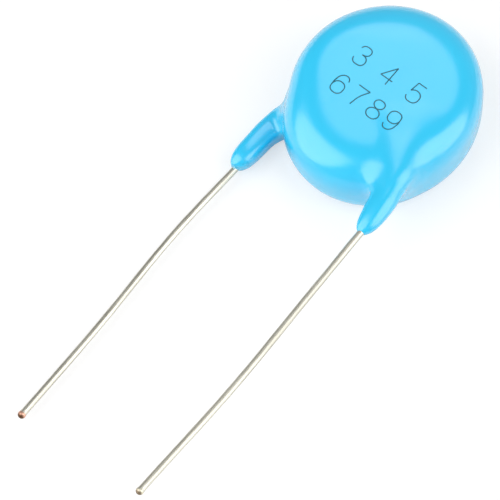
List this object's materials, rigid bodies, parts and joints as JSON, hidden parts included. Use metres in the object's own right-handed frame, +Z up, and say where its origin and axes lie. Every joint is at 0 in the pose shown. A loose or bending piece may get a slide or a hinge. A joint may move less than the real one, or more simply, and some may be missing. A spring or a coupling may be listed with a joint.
{
  "type": "ceramic disc capacitor",
  "caption": "Round disc capacitor for high voltage, dipped in glossy blue epoxy, with two straight tinned leads leaving coated legs on opposite faces.",
  "frame": {"origin": "middle of the disc on the flat back face, which lies on the surface", "axes": "+Z up through the disc to its front face, -Y along the leads to their cut ends, +X to the side of the front lead"},
  "size_m": [0.0154, 0.0474, 0.007],
  "materials": {
    "epoxy_coat": "glossy dipped epoxy, sky blue",
    "disc_ceramic": "matt fired ceramic, warm off-white",
    "fired_silver": "matt fired silver paste",
    "tinned_wire": "tinned copper wire, slightly uneven, semi-bright",
    "solder": "smooth soft solder, semi-bright"
  },
  "bodies": {
    "root": {"coating": "epoxy_coat", "ceramic_disc": "disc_ceramic", "front_electrode": "fired_silver", "back_electrode": "fired_silver", "front_lead": "tinned_wire", "back_lead": "tinned_wire", "front_solder": "solder", "back_solder": "solder"}
  },
  "joints": []
}
